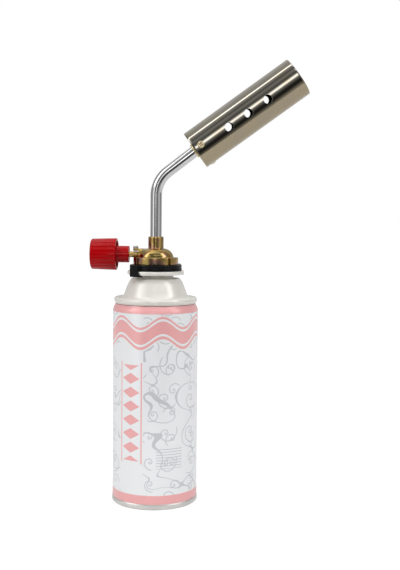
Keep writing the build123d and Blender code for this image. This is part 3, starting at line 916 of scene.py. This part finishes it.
class TORCH_OT_valve(bpy.types.Operator):
    """Build the cast valve body, the bayonet base and the stop screw"""

    bl_idname = "torch.valve"
    bl_label = "Valve"

    def execute(self, context):
        body = cast_copy("valve_body_casting", "valve_body", 0.3 * MM, 4)
        stands_for(body, "valve_body", "head", chromated_zinc())
        base = cast_copy("bayonet_base_moulding", "bayonet_base", 0.3 * MM, 2)
        stands_for(base, "bayonet_base", "head", black_plastic())
        screw = cast_copy("stop_screw_turned", "stop_screw", 0.12 * MM, 2)
        stands_for(screw, "stop_screw", "head", bpy.data.materials["zinc_screw"])
        return {"FINISHED"}


# ---- knob ----

def knob_points(radius, flutes):
    """The knob as one closed turned outline whose outer wall is grooved. At each angle the wall's radius is
    the softened least of its own radius and the near side of a small circle that stands outside it, once
    a flute."""
    low, high, _ = measured("knob", VALVE_POINT, VALVE_AXIS)
    low, high, big = low / MM, high / MM, radius / MM
    inner = low + 9.6
    face = high - 0.36
    hub, floor = 6.45, high - 1.4
    corners = [(0, low, 0), (hub, low, 0.35), (hub, inner + 9.0, 0.8), (big - 2.0, inner + 9.0, 0.8),
               (big - 1.75, inner, 0.3), (big, inner, 0.45), (big - 0.5, face, 1.4), (6.5, face + 0.25, 3.0),
               (3.15, high, 0.2), (3.1, floor, 0.15), (0, floor, 0)]
    outline = rounded(corners, steps=6)
    radii, heights = outline[:, 0], outline[:, 1]
    columns = flutes * 24
    angles = np.arange(columns) * 2 * np.pi / columns
    pitch = 2 * np.pi / flutes
    offset = (angles % pitch) - pitch / 2
    centre, groove, soft = big + 0.75, 1.25, 0.07
    sideways = centre * np.sin(offset)
    cut = centre * np.cos(offset) - np.sqrt(np.maximum(groove ** 2 - sideways ** 2, 0))
    cut = np.where(np.abs(sideways) < groove, cut, centre)
    own, cut = np.broadcast_arrays(radii[:, None], cut[None, :])
    blend = np.clip(0.5 + 0.5 * (cut - own) / (4 * soft), 0, 1)
    grooved = cut * (1 - blend) + own * blend - 4 * soft * blend * (1 - blend) * 0.5
    outer = (radii[:, None] > 10.0) & (heights[:, None] > inner - 0.5)
    outer &= (radii[:, None] > big - 1.0) | (heights[:, None] > inner + 12)
    radius_grid = np.where(outer, grooved, own)
    return np.stack([radius_grid * np.cos(angles), radius_grid * np.sin(angles),
                     heights[:, None] + 0 * angles], axis=2) * MM


def red_plastic():
    """Glossy moulded plastic: slight sink ripple, rubbed patches, light scratches."""
    material, graph, shader = new_material("red_plastic")
    where = graph.place()
    grain = graph.group(grain_group(), {"Vector": where, "Fineness": 900.0})
    scratches = graph.group(scratch_group(), {"Vector": where, "Fineness": 220.0, "Width": 0.006})["Mask"]
    base = colours().knob[:]
    shade = graph.mix(grain["Broad"], base, tuple(v * 0.85 for v in base))
    shade = graph.mix(graph.times(scratches, 0.06), shade, srgb(205, 70, 70))
    dress(graph, shader, shade, graph.scaled(grain["Broad"], 0.06, 0.1), grain["Height"], 0.00001, 0.2)
    shader.inputs["Specular IOR Level"].default_value = 0.16
    return material


class TORCH_OT_knob(bpy.types.Operator):
    """Build the fluted knob"""

    bl_idname = "torch.knob"
    bl_label = "Knob"

    def execute(self, context):
        points = placed(knob_points(sizes().knob_radius, sizes().knob_flutes), VALVE)
        piece = grid_object("knob_fluted", points, closed_rows=False)
        stands_for(piece, "knob", "knob", red_plastic())
        return {"FINISHED"}


# ---- gas tube ----

def tube_path(bend):
    """The tube's middle line as points and directions: straight up, an arc of the bend's radius, a straight
    run to the burner's rear and a short stretch along the burner. The line stays in the XZ plane."""
    low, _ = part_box("gas_tube")
    end = BURNER_REAR + BURNER_AXIS * 9.0 * MM
    slope = math.radians(37.7)
    corner = np.array([0.0, BURNER_REAR[2] - BURNER_REAR[0] * math.tan(slope)])
    turn = math.pi / 2 - slope
    reach = bend * math.tan(turn / 2)
    angles = np.linspace(math.pi, math.pi - turn, 33)
    arc = np.stack([bend + bend * np.cos(angles), corner[1] - reach + bend * np.sin(angles)], axis=1)
    rise = np.stack([np.zeros(5), np.linspace(low.z, corner[1] - reach, 6)[:-1]], axis=1)
    leg_start, leg_end = arc[-1], BURNER_REAR[[0, 2]]
    leg = leg_start + (leg_end - leg_start) * np.linspace(0, 1, 6)[1:, None]
    last = leg_end + (end[[0, 2]] - leg_end) * np.linspace(0, 1, 4)[1:, None]
    line = np.concatenate([rise, arc, leg, last])
    direction = np.gradient(line, axis=0)
    direction /= np.linalg.norm(direction, axis=1, keepdims=True)
    return line, direction


def tube_points(radius, bend, columns=72):
    """Rings square to the middle line, out along the outside and back along the bore, so the ends close."""
    line, direction = tube_path(bend)
    across = np.stack([direction[:, 1], -direction[:, 0]], axis=1)
    angles = np.arange(columns) * 2 * np.pi / columns
    bore = radius - 1.0 * MM
    rings = []
    for size, order in ((radius, slice(None)), (bore, slice(None, None, -1))):
        middle, side = line[order][:, None], across[order][:, None]
        flat = middle + size * np.cos(angles)[None, :, None] * side
        depth = np.broadcast_to(size * np.sin(angles), flat.shape[:2])
        rings.append(np.stack([flat[..., 0], depth, flat[..., 1]], axis=2))
    return np.concatenate(rings)


def chromed_tube():
    """Bright plating over drawn tube: faint lengthwise draw marks and tiny pits."""
    material, graph, shader = new_material("chromed_tube")
    where = graph.place((1, 1, 0.06))
    grain = graph.group(grain_group(), {"Vector": where, "Fineness": 1300.0})
    speck = graph.noise(graph.place(), 900.0, detail=2.0)
    tone = colours().chrome[:]
    shade = graph.mix(graph.scaled(grain["Broad"], 0.0, 0.3), tone, tuple(v * 0.8 for v in tone))
    rough = graph.plus(graph.scaled(grain["Height"], 0.05, 0.12),
                       graph.times(graph.between(speck, 0.62, 0.72), 0.15))
    dress(graph, shader, shade, rough, speck, 0.00003, 0.25)
    shader.inputs["Metallic"].default_value = 1.0
    return material


class TORCH_OT_gas_tube(bpy.types.Operator):
    """Build the bent gas tube"""

    bl_idname = "torch.gas_tube"
    bl_label = "Gas tube"

    def execute(self, context):
        piece = grid_object("gas_tube_bent", tube_points(sizes().tube_radius, sizes().bend_radius))
        stands_for(piece, "gas_tube", "head", chromed_tube())
        return {"FINISHED"}


# ---- burner ----

AIR_HOLES = np.array([30.9, 48.5, 66.1]) * MM
AIR_HOLE_ROLL = math.radians(6.5)


def burner_outline(radius, length):
    """Outer wall, rounded mouth, bore with its step near the rear, and the rear edge."""
    outer, end = radius / MM, length / MM
    corners = [(outer - 1.05, 0, 0.2), (outer, 0, 0.25), (outer, end, 0.25), (outer - 0.8, end, 0.25),
               (outer - 0.8, 24.0, 0), (outer - 1.05, 24.0, 0)]
    return divided(rounded(corners, steps=4), 1.25) * MM


def air_hole_drills(radius, hole):
    """One cutter through both walls for each air hole, along the row's Y turned a little about the burner."""
    direction = np.array([-math.sin(AIR_HOLE_ROLL), math.cos(AIR_HOLE_ROLL), 0])
    along = np.array([0.0, 0.0, 1.0])
    third = np.cross(along, direction)
    own = np.stack([third, along, direction])
    drills = []
    for s in AIR_HOLES:
        points = cylinder_points(hole, -1.3 * radius, 1.3 * radius, (np.array([0, 0, s]), own))
        drills.append(placed(points, BURNER))
    return drills


def polished_stainless():
    """Polished stainless: lines along the tube, faint straw and brown heat tint in random blotches, a painted
    warm reflection of the table along the tube's underside, and handling scratches in patches.
    """
    material, graph, shader = new_material("polished_stainless")
    tilt = math.acos(BURNER_AXIS[2])
    lengthwise = graph.place((1, 1, 0.03), (0, -tilt, 0))
    grain = graph.group(grain_group(), {"Vector": lengthwise, "Fineness": 1700.0})
    blotch = graph.noise(graph.place(), 75.0, detail=3.0, roughness=0.6)
    rise = graph.add("ShaderNodeSeparateXYZ", {0: graph.place((1, 1, 1), (0, -tilt, 0))}).outputs["X"]
    middle = float(BURNER_REAR[0] * math.cos(tilt) - BURNER_REAR[2] * math.sin(tilt))
    # Painted reflection: this mask tints the tube's lower side warm to stand in for the warm table it reflects.
    # It is not heat tint.
    underside = graph.between(rise, middle + 2.0 * MM, middle + 7.0 * MM)
    tone = colours().stainless[:]
    warm = tuple(v * k for v, k in zip(tone, (0.98, 0.88, 0.7)))
    # The warm tint is partly heat tint (the random blotches) and partly painted reflection (the underside
    # mask).
    shade = graph.mix(graph.math("MAXIMUM", graph.times(graph.between(blotch, 0.45, 0.7), 0.5), underside),
                      tone, warm)
    shade = graph.mix(graph.scaled(grain["Broad"], 0.0, 0.25), shade, tuple(v * 0.75 for v in tone))
    scratches = graph.group(scratch_group(), {
        "Vector": graph.place(), "Fineness": 170.0, "Width": 0.008})["Mask"]
    rough = graph.plus(graph.scaled(grain["Height"], 0.045, 0.12), graph.times(scratches, 0.15))
    dress(graph, shader, shade, rough, grain["Height"], 0.00002, 0.3)
    shader.inputs["Metallic"].default_value = 1.0
    return material


class TORCH_OT_burner(bpy.types.Operator):
    """Build the burner tube with its air holes, its holder and screws"""

    bl_idname = "torch.burner"
    bl_label = "Burner"

    def execute(self, context):
        radius, length = sizes().burner_radius, sizes().burner_length
        points = placed(lathe(burner_outline(radius, length), 192), BURNER)
        blank = grid_object("burner_tube_drilled", points)
        tube = drilled(blank, air_hole_drills(radius, sizes().air_hole_radius))
        stands_for(tube, "burner_tube", "head", polished_stainless())
        screws = cast_copy("burner_screws_turned", "burner_screws", 0.14 * MM, 2)
        stands_for(screws, "burner_screws", "head", bpy.data.materials["brass_screw"])
        holder = cast_copy("burner_holder_turned", "burner_holder", 0.28 * MM, 2)
        stands_for(holder, "burner_holder", "head", bpy.data.materials["plain_brass"])
        return {"FINISHED"}


# ---- finishes of the pieces that stay as they are ----

def rubber():
    """Matt black rubber with duller patches."""
    material, graph, shader = new_material("black_rubber")
    grain = graph.group(grain_group(), {"Vector": graph.place(), "Fineness": 2200.0})
    shade = graph.mix(grain["Broad"], (0.012, 0.012, 0.012), (0.03, 0.029, 0.028))
    dress(graph, shader, shade, graph.scaled(grain["Broad"], 0.6, 0.8), grain["Height"], 0.00004, 0.5)
    return material


def pale_plastic():
    """White acetal, slightly yellowed in patches."""
    material, graph, shader = new_material("white_plastic")
    grain = graph.group(grain_group(), {"Vector": graph.place(), "Fineness": 1200.0})
    shade = graph.mix(grain["Broad"], srgb(232, 231, 226), srgb(216, 214, 206))
    dress(graph, shader, shade, graph.scaled(grain["Broad"], 0.35, 0.5), grain["Height"], 0.00003, 0.3)
    return material


def make_finishes():
    """The materials shared by the small pieces, by their slot's name."""
    brass = colours().brass[:]
    return {
        "plain_brass": plain_metal("plain_brass", brass, 0.24),
        "brass_screw": plain_metal("brass_screw", (0.40, 0.33, 0.22), 0.22, fineness=2200.0),
        "zinc_screw": plain_metal("zinc_screw", (0.42, 0.41, 0.37), 0.32, fineness=2200.0),
        "sintered_bronze": plain_metal("sintered_bronze", (0.34, 0.21, 0.1), 0.55, 5000.0, 0.0001),
        "spring_steel": plain_metal("spring_steel", (0.5, 0.5, 0.5), 0.25),
        "bare_tin": plain_metal("tinplate", (0.6, 0.6, 0.59), 0.3),
        "black_rubber": rubber(),
        "white_plastic": pale_plastic(),
    }


class TORCH_OT_finishes(bpy.types.Operator):
    """Give every carried-over piece its finish"""

    bl_idname = "torch.finishes"
    bl_label = "Finishes"

    def execute(self, context):
        finishes = make_finishes()
        slots = {part["node"]: part["material_slot"] for part in frame["record"]["subparts"]}
        for name, piece in frame["nodes"].items():
            if slots[name] in finishes:
                piece.data.materials.clear()
                piece.data.materials.append(finishes[slots[name]])
        return {"FINISHED"}


# ---- panel and registration ----

STEPS = ("torch.stage", "torch.finishes", "torch.cartridge", "torch.valve", "torch.knob", "torch.gas_tube",
         "torch.burner")


class TORCH_PT_panel(bpy.types.Panel):
    """The torch's steps and settings"""

    bl_idname = "TORCH_PT_panel"
    bl_label = "Cartridge Blowtorch"
    bl_space_type = "VIEW_3D"
    bl_region_type = "UI"
    bl_category = "Torch"

    def draw(self, context):
        for step in STEPS:
            self.layout.operator(step)
        for group in (context.scene.torch_sizes, context.scene.torch_colours, context.scene.torch_studio):
            box = self.layout.box()
            for name in group.__annotations__:
                box.prop(group, name)


CLASSES = (TorchSizes, TorchColours, StudioSettings, TORCH_OT_stage, TORCH_OT_finishes, TORCH_OT_cartridge,
           TORCH_OT_valve, TORCH_OT_knob, TORCH_OT_gas_tube, TORCH_OT_burner, TORCH_PT_panel)


def register():
    for kind in CLASSES:
        bpy.utils.register_class(kind)
    bpy.types.Scene.torch_sizes = bpy.props.PointerProperty(type=TorchSizes)
    bpy.types.Scene.torch_colours = bpy.props.PointerProperty(type=TorchColours)
    bpy.types.Scene.torch_studio = bpy.props.PointerProperty(type=StudioSettings)


def unregister():
    del bpy.types.Scene.torch_studio
    del bpy.types.Scene.torch_colours
    del bpy.types.Scene.torch_sizes
    for kind in reversed(CLASSES):
        bpy.utils.unregister_class(kind)


def main():
    register()
    for step in STEPS:
        module, name = step.split(".")
        getattr(getattr(bpy.ops, module), name)()


if __name__ == "__main__":
    main()
